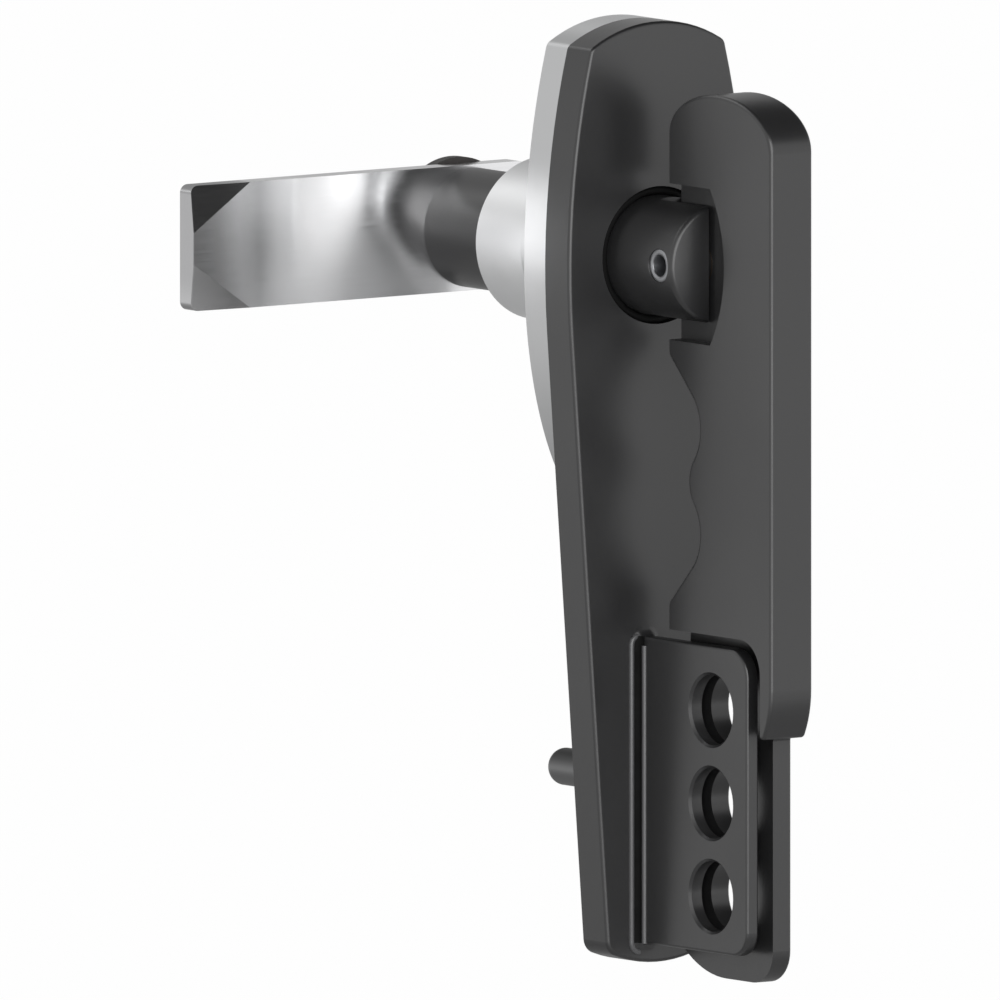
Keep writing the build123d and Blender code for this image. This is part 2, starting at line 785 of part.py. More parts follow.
pieces = {
    "base_plate": base_plate,
    "mounting_flange": mounting_flange,
    "base_screws": base_screws,
    "locating_stud": locating_stud,
    "front_bush": front_bush,
    "front_seal": front_seal,
    "rear_bush": rear_bush,
    "panel_seal": panel_seal,
    "base_seal": base_seal,
    "thrust_washer": thrust_washer,
    "wave_washer": wave_washer,
    "spindle": spindle,
    "spindle_seal": spindle_seal,
    "spindle_circlip": spindle_circlip,
    "stop_pin": stop_pin,
    "pivot_pin": pivot_pin,
    "cam_spacer": cam_spacer,
    "cam": cam,
    "cam_washer": cam_washer,
    "spring_washer": spring_washer,
    "cam_bolt": cam_bolt,
    "handle_blade": handle_blade,
    "pivot_bush": pivot_bush,
    "friction_washers": friction_washers,
}

os.makedirs("parts", exist_ok=True)
for name, make in pieces.items():
    export_step(make(), f"parts/{name}.step")
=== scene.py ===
import math

import bmesh
import bpy
from bpy.props import FloatProperty, FloatVectorProperty, IntProperty, PointerProperty
from mathutils import Matrix, Vector


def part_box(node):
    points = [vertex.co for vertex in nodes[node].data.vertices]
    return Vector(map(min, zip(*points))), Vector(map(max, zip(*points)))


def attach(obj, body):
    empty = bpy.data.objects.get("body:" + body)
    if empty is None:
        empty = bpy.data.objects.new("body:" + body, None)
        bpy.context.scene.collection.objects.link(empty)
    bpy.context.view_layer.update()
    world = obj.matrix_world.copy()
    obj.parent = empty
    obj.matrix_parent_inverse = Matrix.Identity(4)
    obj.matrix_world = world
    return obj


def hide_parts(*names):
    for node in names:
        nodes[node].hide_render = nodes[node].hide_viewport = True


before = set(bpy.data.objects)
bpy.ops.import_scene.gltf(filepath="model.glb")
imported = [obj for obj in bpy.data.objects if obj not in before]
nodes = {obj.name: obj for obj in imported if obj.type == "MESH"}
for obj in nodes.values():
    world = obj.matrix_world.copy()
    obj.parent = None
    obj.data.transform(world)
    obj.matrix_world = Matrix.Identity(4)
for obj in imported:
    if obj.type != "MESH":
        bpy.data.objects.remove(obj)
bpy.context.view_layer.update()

bl_info = {
    "name": "Swing Handle Lock",
    "version": (1, 0, 0),
    "blender": (4, 5, 0),
    "location": "3D View > Sidebar > Handle Lock",
    "description": "Fasteners, finishes and studio for a padlockable swing handle lock",
    "category": "Object",
}


def size_of(node):
    """Lowest corner, highest corner and extent of a node at rest."""
    low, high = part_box(node)
    return low, high, high - low


# ---------------------------------------------------------------------------------------
# Settings
# ---------------------------------------------------------------------------------------


class FastenerSettings(bpy.types.PropertyGroup):
    """Sizes of the bolt, spring washer, pin and screws, and of the beads at the fin's root."""

    head_chamfer: FloatProperty(
        name="Head chamfer",
        description="Angle of the turned chamfer on the bolt head's corners",
        default=math.radians(28),
        subtype="ANGLE",
    )
    head_round: FloatProperty(
        name="Head edge",
        description="Rounding along the six corners of the bolt head",
        default=0.00018,
        unit="LENGTH",
    )
    shank_diameter: FloatProperty(
        name="Shank diameter",
        description="Diameter of the cam bolt's shank",
        default=0.008,
        unit="LENGTH",
    )
    head_height: FloatProperty(
        name="Head height",
        description="Height of the cam bolt's head",
        default=0.0053,
        unit="LENGTH",
    )
    washer_bore: FloatProperty(
        name="Spring washer bore",
        description="Inner diameter of the spring washer",
        default=0.0084,
        unit="LENGTH",
    )
    washer_slit: FloatProperty(
        name="Spring washer slit",
        description="Width of the cut through the spring washer",
        default=0.0011,
        unit="LENGTH",
    )
    pin_wall: FloatProperty(
        name="Pivot pin wall",
        description="Wall thickness of the hollow pivot pin",
        default=0.001,
        unit="LENGTH",
    )
    screw_head: FloatProperty(
        name="Screw head diameter",
        description="Diameter of the countersunk screw heads",
        default=0.0074,
        unit="LENGTH",
    )
    screw_shank: FloatProperty(
        name="Screw diameter",
        description="Diameter of the countersunk screws' shanks",
        default=0.004,
        unit="LENGTH",
    )
    socket_width: FloatProperty(
        name="Socket width",
        description="Width across the flats of the screws' sockets",
        default=0.0025,
        unit="LENGTH",
    )
    fin_height: FloatProperty(
        name="Fin height",
        description="Height of the padlock fin above the face of the base",
        default=0.0294,
        unit="LENGTH",
    )
    fin_wall: FloatProperty(
        name="Fin side",
        description="Place of the fin's left side, across the lock",
        default=-0.00385,
        unit="LENGTH",
    )
    fin_bottom: FloatProperty(
        name="Fin bottom",
        description="Height of the fin's lower end",
        default=-0.1104,
        unit="LENGTH",
    )
    fin_top: FloatProperty(
        name="Fin top",
        description="Height at which the beads turn over the fin's upper end",
        default=-0.0625,
        unit="LENGTH",
    )
    fin_fillet: FloatProperty(
        name="Root fillet",
        description="Radius of the fillet at the root of the fin",
        default=0.0015,
        unit="LENGTH",
    )
    bead: FloatProperty(
        name="Root bead",
        description="Radius of the fine beads along the root of the fin",
        default=0.00048,
        unit="LENGTH",
    )
    facets: IntProperty(
        name="Facets",
        description="Facets round a turned piece",
        default=72,
        min=24,
        max=144,
    )


class FinishSettings(bpy.types.PropertyGroup):
    """Colours and gloss of the finishes."""

    black_colour: FloatVectorProperty(
        name="Black coat",
        description="Colour of the black coat on the base, blade and spindle",
        subtype="COLOR",
        size=3,
        default=(0.028, 0.028, 0.029),
        min=0.0,
        max=1.0,
    )
    black_roughness: FloatProperty(
        name="Black coat roughness",
        description="Mean roughness of the black coat",
        default=0.32,
        min=0.0,
        max=1.0,
        subtype="FACTOR",
    )
    casting_colour: FloatVectorProperty(
        name="Plated casting",
        description="Colour of the satin flange and collar",
        subtype="COLOR",
        size=3,
        default=(0.80, 0.805, 0.81),
        min=0.0,
        max=1.0,
    )
    cam_colour: FloatVectorProperty(
        name="Bright plating",
        description="Colour of the polished cam",
        subtype="COLOR",
        size=3,
        default=(0.80, 0.80, 0.81),
        min=0.0,
        max=1.0,
    )
    steel_colour: FloatVectorProperty(
        name="Zinc-plated steel",
        description="Colour of the bolt, spring washer, pin and screws",
        subtype="COLOR",
        size=3,
        default=(0.60, 0.61, 0.63),
        min=0.0,
        max=1.0,
    )
    oxide_colour: FloatVectorProperty(
        name="Black oxide",
        description="Colour of the wide washer behind the cam",
        subtype="COLOR",
        size=3,
        default=(0.075, 0.073, 0.072),
        min=0.0,
        max=1.0,
    )
    rubber_colour: FloatVectorProperty(
        name="Rubber",
        description="Colour of the sealing rings",
        subtype="COLOR",
        size=3,
        default=(0.004, 0.004, 0.004),
        min=0.0,
        max=1.0,
    )
    plastic_colour: FloatVectorProperty(
        name="Bearing plastic",
        description="Colour of the bushes and friction washers",
        subtype="COLOR",
        size=3,
        default=(0.008, 0.008, 0.008),
        min=0.0,
        max=1.0,
    )
    bronze_colour: FloatVectorProperty(
        name="Bronze",
        description="Colour of the sintered bush in the blade",
        subtype="COLOR",
        size=3,
        default=(0.30, 0.21, 0.13),
        min=0.0,
        max=1.0,
    )


class StudioSettings(bpy.types.PropertyGroup):
    """Viewing angle, framing and light."""

    azimuth: FloatProperty(
        name="Azimuth",
        description="Direction of the camera round the lock, from its front",
        default=math.radians(-36),
        subtype="ANGLE",
    )
    elevation: FloatProperty(
        name="Elevation",
        description="Height of the camera above level",
        default=math.radians(6.2),
        subtype="ANGLE",
    )
    width: FloatProperty(
        name="View width",
        description="Width of the orthographic view",
        default=0.160,
        unit="LENGTH",
    )
    across: FloatProperty(
        name="Shift across",
        description="Distance from the spindle to the middle of the view, to the right",
        default=-0.02536,
        unit="LENGTH",
    )
    above: FloatProperty(
        name="Shift up",
        description="Distance from the spindle to the middle of the view, upwards",
        default=-0.0392,
        unit="LENGTH",
    )
    floor_height: FloatProperty(
        name="Floor",
        description="Height of the floor below the lock's origin",
        default=-0.30,
        unit="LENGTH",
    )
    key_power: FloatProperty(
        name="Key light",
        description="Power of the large soft light at the front left",
        default=8.0,
        unit="POWER",
    )
    back_power: FloatProperty(
        name="Back light",
        description="Power of the soft light behind the lock",
        default=1.0,
        unit="POWER",
    )
    fill: FloatProperty(
        name="Fill",
        description="Strength of the even light from all round",
        default=0.75,
        min=0.0,
    )


# ---------------------------------------------------------------------------------------
# Finishes
# ---------------------------------------------------------------------------------------


class Graph:
    """A node tree with a few short ways to add and join nodes."""

    def __init__(self, tree):
        self.tree = tree

    def add(self, kind):
        return self.tree.nodes.new("ShaderNode" + kind)

    def link(self, source, target):
        self.tree.links.new(source, target)

    def put(self, value, socket):
        """Sets a socket to a plain number, or joins another node's output to it."""
        if isinstance(value, float):
            socket.default_value = value
        else:
            self.link(value, socket)

    def split(self, vector):
        """The three parts of a vector, by the names X, Y and Z."""
        node = self.add("SeparateXYZ")
        self.link(vector, node.inputs[0])
        return node.outputs

    def vector_value(self, kind, first, second=None):
        """The number that an operation on one or two vectors gives."""
        node = self.add("VectorMath")
        node.operation = kind
        self.link(first, node.inputs[0])
        if isinstance(second, tuple):
            node.inputs[1].default_value = second
        elif second is not None:
            self.link(second, node.inputs[1])
        return node.outputs["Value"]

    def spread(self, value, low, high, start=0.3, end=0.7):
        """Runs smoothly from low to high as the value goes from start to end."""
        node = self.add("MapRange")
        node.interpolation_type = "SMOOTHSTEP"
        node.inputs["From Min"].default_value = start
        node.inputs["From Max"].default_value = end
        node.inputs["To Min"].default_value = low
        node.inputs["To Max"].default_value = high
        self.link(value, node.inputs["Value"])
        return node.outputs["Result"]

    def weigh(self, first, second, kind="MULTIPLY"):
        """Arithmetic on two values, each an output or a plain number."""
        node = self.add("Math")
        node.operation = kind
        self.put(first, node.inputs[0])
        self.put(second, node.inputs[1])
        return node.outputs[0]

    def share(self, factor, first, second):
        """Runs from the first value to the second as the factor goes from 0 to 1."""
        node = self.add("Mix")
        self.link(factor, node.inputs["Factor"])
        self.put(first, node.inputs["A"])
        self.put(second, node.inputs["B"])
        return node.outputs["Result"]


class Finish(Graph):
    """A material in the making."""

    def __init__(self, name):
        self.material = bpy.data.materials.new(name)
        self.material.use_nodes = True
        super().__init__(self.material.node_tree)
        self.shader = self.tree.nodes["Principled BSDF"]
        self.place = self.add("TexCoord").outputs["Object"]

    def stretched(self, scale):
        """Object coordinates, scaled."""
        mapping = self.add("Mapping")
        mapping.inputs["Scale"].default_value = scale
        self.link(self.place, mapping.inputs["Vector"])
        return mapping.outputs["Vector"]

    def noise(self, scale, detail=3.0, roughness=0.5, vector=None):
        node = self.add("TexNoise")
        node.inputs["Scale"].default_value = scale
        node.inputs["Detail"].default_value = detail
        node.inputs["Roughness"].default_value = roughness
        self.link(vector or self.place, node.inputs["Vector"])
        return node.outputs["Fac"]

    def rings(self, scale, distortion, axis):
        """Fine turning marks round an axis through the origin."""
        node = self.add("TexWave")
        node.wave_type = "RINGS"
        node.rings_direction = axis
        node.inputs["Scale"].default_value = scale
        node.inputs["Distortion"].default_value = distortion
        node.inputs["Detail"].default_value = 3.0
        self.link(self.place, node.inputs["Vector"])
        return node.outputs["Fac"]

    def blend(self, value, first, second):
        """Colour that runs from the first to the second as the value goes from 0 to 1."""
        node = self.add("Mix")
        node.data_type = "RGBA"
        for socket in node.inputs:
            if socket.type == "RGBA" and socket.name == "A":
                socket.default_value = (*first, 1.0)
            if socket.type == "RGBA" and socket.name == "B":
                socket.default_value = (*second, 1.0)
        self.link(value, node.inputs["Factor"])
        return next(s for s in node.outputs if s.type == "RGBA")

    def bump(self, height, distance, strength=1.0, under=None):
        node = self.add("Bump")
        node.inputs["Strength"].default_value = strength
        node.inputs["Distance"].default_value = distance
        self.link(height, node.inputs["Height"])
        if under is not None:
            self.link(under, node.inputs["Normal"])
        return node.outputs["Normal"]

    def along(self, axis, start, end):
        """Runs from 0 to 1 between two places on an axis."""
        return self.spread(self.split(self.place)[axis], 0.0, 1.0, start, end)

    def ground_corner(self, run, rise, slope):
        """Depth, in shading alone, of a slope past the crease of the cam's upper ground corner."""
        end_margin = 0.00005
        low, high, _ = size_of("cam")
        place = self.split(self.place)
        crease = math.hypot(run, rise)
        across = self.weigh(self.weigh(place["X"], -(low.x + run), "ADD"), -rise / crease)
        upward = self.weigh(self.weigh(place["Z"], -high.z, "ADD"), run / crease)
        past = self.weigh(self.weigh(across, upward, "ADD"), 0.0, "MAXIMUM")
        off_the_end = self.weigh(place["X"], low.x + end_margin, "GREATER_THAN")
        return self.weigh(self.weigh(past, off_the_end), slope)

    def dome(self, radius):
        """Height of a shallow dome about the Y axis."""
        flat = self.stretched((1.0, 0.0, 1.0))
        return self.weigh(self.vector_value("DOT_PRODUCT", flat, flat), -0.5 / radius)

    def set(self, **values):
        for name, value in values.items():
            self.shader.inputs[name.replace("_", " ")].default_value = value

    def feed(self, socket, source):
        self.link(source, self.shader.inputs[socket])


def tint(colour, factor):
    return tuple(min(1.0, channel * factor) for channel in colour)


def black_coat(settings, name="black_coat", gloss=1.0, crown=0.0, tone=1.0):
    """Black coat on a die casting: faint orange peel and slow changes of gloss."""
    finish = Finish(name)
    colour = tint(settings.black_colour, tone)
    cloud = finish.noise(34.0, detail=4.0)
    grain = finish.noise(1500.0, detail=2.0)
    peel = finish.noise(420.0, detail=2.0)
    finish.feed("Base Color", finish.blend(cloud, tint(colour, 0.8), tint(colour, 1.25)))
    mean = settings.black_roughness / gloss
    change = 0.035
    finish.feed("Roughness", finish.spread(cloud, mean - change, mean + change))
    under = finish.bump(peel, distance=0.00003, strength=0.35)
    if crown:
        under = finish.bump(finish.dome(crown), distance=1.0, under=under)
    skin = finish.bump(grain, distance=0.000012, strength=0.5, under=under)
    finish.feed("Normal", skin)
    finish.set(Specular_IOR_Level=0.85)
    return finish.material


def satin_casting(settings):
    """Satin plating over a tumbled die casting, with a painted highlight in a band, on the collar
    and on top.
    """
    finish = Finish("satin_casting")
    colour = tuple(settings.casting_colour)
    cloud = finish.noise(60.0, detail=5.0)
    grain = finish.noise(2600.0, roughness=0.6)
    # Painted highlight: the band, the collar and the top are made lighter, broken up by the cloud.
    band = finish.weigh(finish.along("Z", -0.005, 0.003), finish.along("Z", 0.016, 0.008))
    collar = finish.along("Y", 0.0066, 0.0072)
    top = finish.along("Z", 0.0345, 0.0365)
    painted_light = finish.weigh(finish.weigh(band, collar, "MAXIMUM"), top, "MAXIMUM")
    patchy = finish.weigh(painted_light, finish.spread(cloud, 0.9, 1.0))
    finish.feed("Base Color", finish.blend(patchy, tint(colour, 0.78), tint(colour, 1.12)))
    finish.feed("Roughness", finish.spread(cloud, 0.40, 0.48))
    finish.feed("Normal", finish.bump(grain, distance=0.00001, strength=0.7))
    finish.set(Metallic=1.0)
    return finish.material


def stud_steel(settings):
    """Dull steel, with painted shade along the upper side of the stud."""
    finish = Finish("stud_steel")
    colour = tint(settings.casting_colour, 0.29)
    cloud = finish.noise(60.0, detail=5.0)
    grain = finish.noise(2600.0, roughness=0.6)
    # Painted shade: the top of the stud is far darker than the part below it.
    below_painted_shade = finish.weigh(finish.along("Z", -0.0820, -0.0847), finish.spread(cloud, 0.9, 1.0))
    finish.feed("Base Color", finish.blend(below_painted_shade, tint(colour, 0.14), colour))
    finish.feed("Roughness", finish.spread(cloud, 0.40, 0.48))
    finish.feed("Normal", finish.bump(grain, distance=0.00001, strength=0.7))
    finish.set(Metallic=1.0)
    return finish.material


def bright_plating(settings):
    """Bright plating on rolled steel, with a shaded camber and polishing lines along the cam,
    painted shade towards the tip and painted light on its lower side and end face.
    """
    finish = Finish("bright_plating")
    colour = tuple(settings.cam_colour)
    drawn_out = finish.stretched((60.0, 2400.0, 2400.0))
    lines = finish.noise(1.0, roughness=0.6, vector=drawn_out)
    cloud = finish.noise(45.0)
    # Painted shade darkens the cam towards its tip; painted light lifts its lower side and end face
    # there.
    away_from_tip = finish.along("X", -0.051, -0.038)
    lower_side = finish.weigh(finish.along("Z", -0.004, -0.012), 0.3)
    end_face = finish.weigh(finish.along("X", -0.0549, -0.0551), 0.2)
    bright = finish.weigh(away_from_tip, finish.weigh(lower_side, end_face, "ADD"), "MAXIMUM")
    painted_light = finish.weigh(bright, finish.spread(cloud, 0.92, 1.0))
    finish.feed("Base Color", finish.blend(painted_light, tint(colour, 0.45), colour))
    finish.feed("Roughness", finish.spread(lines, 0.18, 0.22))
    camber = finish.weigh(finish.along("X", -0.042, 0.0), 0.0052)
    upper_rise = finish.weigh(finish.along("Z", -0.012, 0.008), 0.0014)
    swell = finish.weigh(finish.along("X", -0.036, -0.017), upper_rise)
    corner = finish.ground_corner(run=0.0112, rise=0.0076, slope=0.8)
    face = finish.weigh(finish.weigh(camber, swell, "ADD"), corner, "SUBTRACT")
    under = finish.bump(face, distance=1.0)
    skin = finish.bump(cloud, distance=0.00008, strength=0.2, under=under)
    finish.feed("Normal", skin)
    finish.set(Metallic=1.0)
    return finish.material


def zinc_steel(settings, name="zinc_steel", axis="Y", tone=1.0):
    """Zinc-plated turned steel with fine rings and slight mottling."""
    finish = Finish(name)
    colour = tint(settings.steel_colour, tone)
    mottle = finish.noise(330.0, detail=5.0, roughness=0.6)
    rings = finish.rings(900.0, distortion=0.6, axis=axis)
    finish.feed("Base Color", finish.blend(mottle, tint(colour, 0.82), tint(colour, 1.12)))
    finish.feed("Roughness", finish.spread(mottle, 0.29, 0.42))
    finish.feed("Normal", finish.bump(rings, distance=0.000006, strength=0.6))
    finish.set(Metallic=1.0)
    return finish.material


def black_oxide(settings):
    """Oil-blackened steel with a soft brownish mottle."""
    finish = Finish("black_oxide")
    colour = tuple(settings.oxide_colour)
    mottle = finish.noise(260.0, detail=5.0, roughness=0.6)
    rings = finish.rings(700.0, distortion=0.8, axis="Y")
    warming = (1.5, 1.42, 1.36)
    warm = tuple(channel * factor for channel, factor in zip(colour, warming))
    finish.feed("Base Color", finish.blend(mottle, tint(colour, 0.8), warm))
    finish.feed("Roughness", finish.spread(mottle, 0.38, 0.55))
    finish.feed("Normal", finish.bump(rings, distance=0.000006, strength=0.6))
    finish.set(Metallic=0.55)
    return finish.material


def seal_rubber(settings, name="seal_rubber"):
    """Matt sealing rubber with a dusty bloom."""
    finish = Finish(name)
    colour = tuple(settings.rubber_colour)
    bloom = finish.noise(240.0, detail=4.0)
    grain = finish.noise(3000.0, detail=2.0)
    finish.feed("Base Color", finish.blend(bloom, colour, tint(colour, 2.2)))
    finish.feed("Roughness", finish.spread(bloom, 0.6, 0.8))
    finish.feed("Normal", finish.bump(grain, distance=0.00002, strength=0.6))
    finish.set(Specular_IOR_Level=0.12)
    return finish.material


def bearing_plastic(settings):
    """Dark moulded bearing plastic."""
    finish = Finish("bearing_plastic")
    colour = tuple(settings.plastic_colour)
    flow = finish.noise(1.0, vector=finish.stretched((180.0, 40.0, 180.0)))
    grain = finish.noise(1800.0, detail=2.0)
    finish.feed("Base Color", finish.blend(flow, tint(colour, 0.8), tint(colour, 1.3)))
    finish.feed("Roughness", finish.spread(flow, 0.42, 0.58))
    finish.feed("Normal", finish.bump(grain, distance=0.00001, strength=0.6))
    return finish.material


def sintered_bronze(settings):
    """Porous sintered bronze."""
    finish = Finish("sintered_bronze")
    colour = tuple(settings.bronze_colour)
    pores = finish.noise(2200.0, detail=4.0, roughness=0.7)
    finish.feed("Base Color", finish.blend(pores, tint(colour, 0.55), tint(colour, 1.2)))
    finish.feed("Roughness", finish.spread(pores, 0.55, 0.36))
    finish.feed("Normal", finish.bump(pores, distance=0.00002, strength=0.6))
    finish.set(Metallic=1.0)
    return finish.material


def coat_nodes(material, *names):
    """Gives CAD nodes a material in every slot."""
    for name in names:
        thing = nodes[name]
        if not thing.material_slots:
            thing.data.materials.append(material)
        for place in thing.material_slots:
            place.material = material


# ---------------------------------------------------------------------------------------
# Shared mesh work
# ---------------------------------------------------------------------------------------


def finished_piece(bm, name, material, body):
    """Turns a bmesh into a piece that rides on a body of the lock."""
    smooth_below = math.radians(35.0)
    bmesh.ops.remove_doubles(bm, verts=bm.verts[:], dist=1e-7)
    bmesh.ops.recalc_face_normals(bm, faces=bm.faces[:])
    for face in bm.faces:
        face.smooth = True
    for edge in bm.edges:
        if len(edge.link_faces) == 2:
            edge.smooth = edge.calc_face_angle() < smooth_below
    mesh = bpy.data.meshes.new(name)
    bm.to_mesh(mesh)
    bm.free()
    mesh.materials.append(material)
    piece = bpy.data.objects.new(name, mesh)
    bpy.context.scene.collection.objects.link(piece)
    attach(piece, body)
    return piece


def wire_profile(bm, points):
    """Closed loop of edges through a few points."""
    corners = [bm.verts.new(point) for point in points]
    edges = [bm.edges.new((a, b)) for a, b in zip(corners, corners[1:] + corners[:1])]
    return corners, edges


def close_open_ends(bm):
    """Fills each open loop with a face."""
    loose = [edge for edge in bm.edges if len(edge.link_faces) == 1]
    bmesh.ops.holes_fill(bm, edges=loose, sides=0)


def split_ring(bm, points, centre, axis, gap_angle, steps):
    """Spins a closed profile most of the way round, and caps both ends of the cut."""
    corners, edges = wire_profile(bm, points)
    bmesh.ops.rotate(
        bm, verts=corners, cent=centre, matrix=Matrix.Rotation(gap_angle / 2, 3, axis)
    )
    bmesh.ops.spin(
        bm,
        geom=corners + edges,
        cent=centre,
        axis=axis,
        angle=math.tau - gap_angle,
        steps=steps,
    )
    close_open_ends(bm)


def cut_cone(bm, radius, height, slope, cuts):
    """Trims the corners of an upright prism with a cone, one flat cut at a time."""
    for i in range(cuts):
        turn = math.tau * i / cuts
        out = Vector((math.cos(turn), math.sin(turn), 0))
        normal = out * math.sin(slope) + Vector((0, 0, math.cos(slope)))
        point = out * radius + Vector((0, 0, height))
        cut = bmesh.ops.bisect_plane(
            bm,
            geom=bm.verts[:] + bm.edges[:] + bm.faces[:],
            dist=1e-8,
            plane_co=point,
            plane_no=normal,
            clear_outer=True,
        )
        rim = [g for g in cut["geom_cut"] if isinstance(g, bmesh.types.BMEdge)]
        open_rim = [edge for edge in rim if len(edge.link_faces) == 1]
        if open_rim:
            bmesh.ops.holes_fill(bm, edges=open_rim, sides=0)


# ---------------------------------------------------------------------------------------
# Operators
# ---------------------------------------------------------------------------------------


class LOCK_OT_black_castings(bpy.types.Operator):
    """Coat the base, blade, spindle and spacer in black, and dull the locating stud, with painted
    shade on its top
    """

    bl_idname = "lock.black_castings"
    bl_label = "Black castings"

    def execute(self, context):
        settings = context.scene.lock_finish
        coat_nodes(black_coat(settings), "base_plate", "handle_blade")
        coat_nodes(black_coat(settings, "black_turned_parts", gloss=0.9), "cam_spacer")
        coat_nodes(stud_steel(settings), "locating_stud")
        coat_nodes(black_coat(settings, "black_spindle", gloss=0.9, crown=0.034), "spindle")
        return {"FINISHED"}


class LOCK_OT_fin_root(bpy.types.Operator):
    """Run two fine beads along the root of the padlock fin, lightened as painted highlights, with a
    dull strip of painted shade between them
    """

    bl_idname = "lock.fin_root"
    bl_label = "Fin root"

    def execute(self, context):
        sizes = context.scene.lock_fasteners
        face_y = size_of("base_plate")[0].y + sizes.fin_height
        step = sizes.fin_fillet
        wall_x, low, high = sizes.fin_wall, sizes.fin_bottom, sizes.fin_top
        self.beads(context, sizes, Vector((wall_x, face_y, low)), high - low, step)
        self.fillet(context, Vector((wall_x, face_y, low)), high + step - low, step)
        return {"FINISHED"}

    def beads(self, context, sizes, foot, length, step):
        """One bead round the fillet's edge on the base, and one up the side of the fin."""
        wall_x, face_y, low = foot
        high = low + length
        bm = bmesh.new()
        ring = bmesh.ops.create_circle(bm, segments=12, radius=sizes.bead)["verts"]
        bmesh.ops.translate(bm, verts=ring, vec=(wall_x - step, face_y, low))
        edges = bm.edges[:]
        straight = bmesh.ops.extrude_edge_only(bm, edges=edges)["geom"]
        top = [item for item in straight if isinstance(item, bmesh.types.BMVert)]
        bmesh.ops.translate(bm, verts=top, vec=(0, 0, length))
        top_edges = [edge for edge in bm.edges if all(vert in top for vert in edge.verts)]
        for verts, rim, z, angle in (
            (top, top_edges, high, math.pi / 2),
            (ring, edges, low, -math.pi / 2),
        ):
            bmesh.ops.spin(
                bm,
                geom=verts + rim,
                cent=(wall_x, face_y, z),
                axis=(0, 1, 0),
                angle=angle,
                steps=6,
            )
        close_open_ends(bm)
        upright = Matrix.Translation((wall_x, face_y - step, (low + high) / 2))
        bmesh.ops.create_cone(
            bm,
            cap_ends=True,
            segments=12,
            radius1=sizes.bead,
            radius2=sizes.bead,
            depth=length,
            matrix=upright,
        )
        # The beads' coat is four times lighter, as a painted highlight along the fin's root.
        coat = black_coat(context.scene.lock_finish, "root_beads", tone=4.0)
        finished_piece(bm, "fin_root_beads", coat, "housing")

    def fillet(self, context, foot, length, step):
        """A dull black strip of painted shade between the beads, shaped as a fillet a little proud
        of the casting's own.
        """
        proud = 0.00006
        arc_steps = 6
        inside = step - proud
        bm = bmesh.new()
        corners = [bm.verts.new(foot)]
        for index in range(arc_steps + 1):
            turn = index * math.pi / (2 * arc_steps)
            out = Vector((inside * math.sin(turn) - step, inside * math.cos(turn) - step, 0))
            corners.append(bm.verts.new(foot + out))
        end = bm.faces.new(corners)
        grown = bmesh.ops.extrude_face_region(bm, geom=[end])["geom"]
        lifted = [item for item in grown if isinstance(item, bmesh.types.BMVert)]
        bmesh.ops.translate(bm, verts=lifted, vec=(0, 0, length))
        # Matt rubber-black strip: painted shade over the casting's fillet between the beads.
        dull = seal_rubber(context.scene.lock_finish, "root_fillet_black")
        finished_piece(bm, "fin_root_fillet", dull, "housing")


class LOCK_OT_flange(bpy.types.Operator):
    """Give the flange and collar their satin plating"""

    bl_idname = "lock.flange"
    bl_label = "Flange and collar"

    def execute(self, context):
        coat_nodes(satin_casting(context.scene.lock_finish), "mounting_flange")
        return {"FINISHED"}


class LOCK_OT_cam(bpy.types.Operator):
    """Polish the cam and blacken its wide washer"""

    bl_idname = "lock.cam"
    bl_label = "Cam and washer"

    def execute(self, context):
        settings = context.scene.lock_finish
        coat_nodes(bright_plating(settings), "cam")
        coat_nodes(black_oxide(settings), "cam_washer")
        return {"FINISHED"}


class LOCK_OT_bearings(bpy.types.Operator):
    """Finish the bushes, seals, thrust washers and the pins inside the lock"""

    bl_idname = "lock.bearings"
    bl_label = "Bushes and seals"

    def execute(self, context):
        settings = context.scene.lock_finish
        coat_nodes(
            seal_rubber(settings), "front_seal", "panel_seal", "base_seal", "spindle_seal"
        )
        coat_nodes(
            bearing_plastic(settings), "front_bush", "rear_bush", "thrust_washer", "friction_washers"
        )
        coat_nodes(sintered_bronze(settings), "pivot_bush")
        inner_steel = zinc_steel(settings, "spring_steel")
        coat_nodes(inner_steel, "wave_washer", "spindle_circlip", "stop_pin")
        return {"FINISHED"}


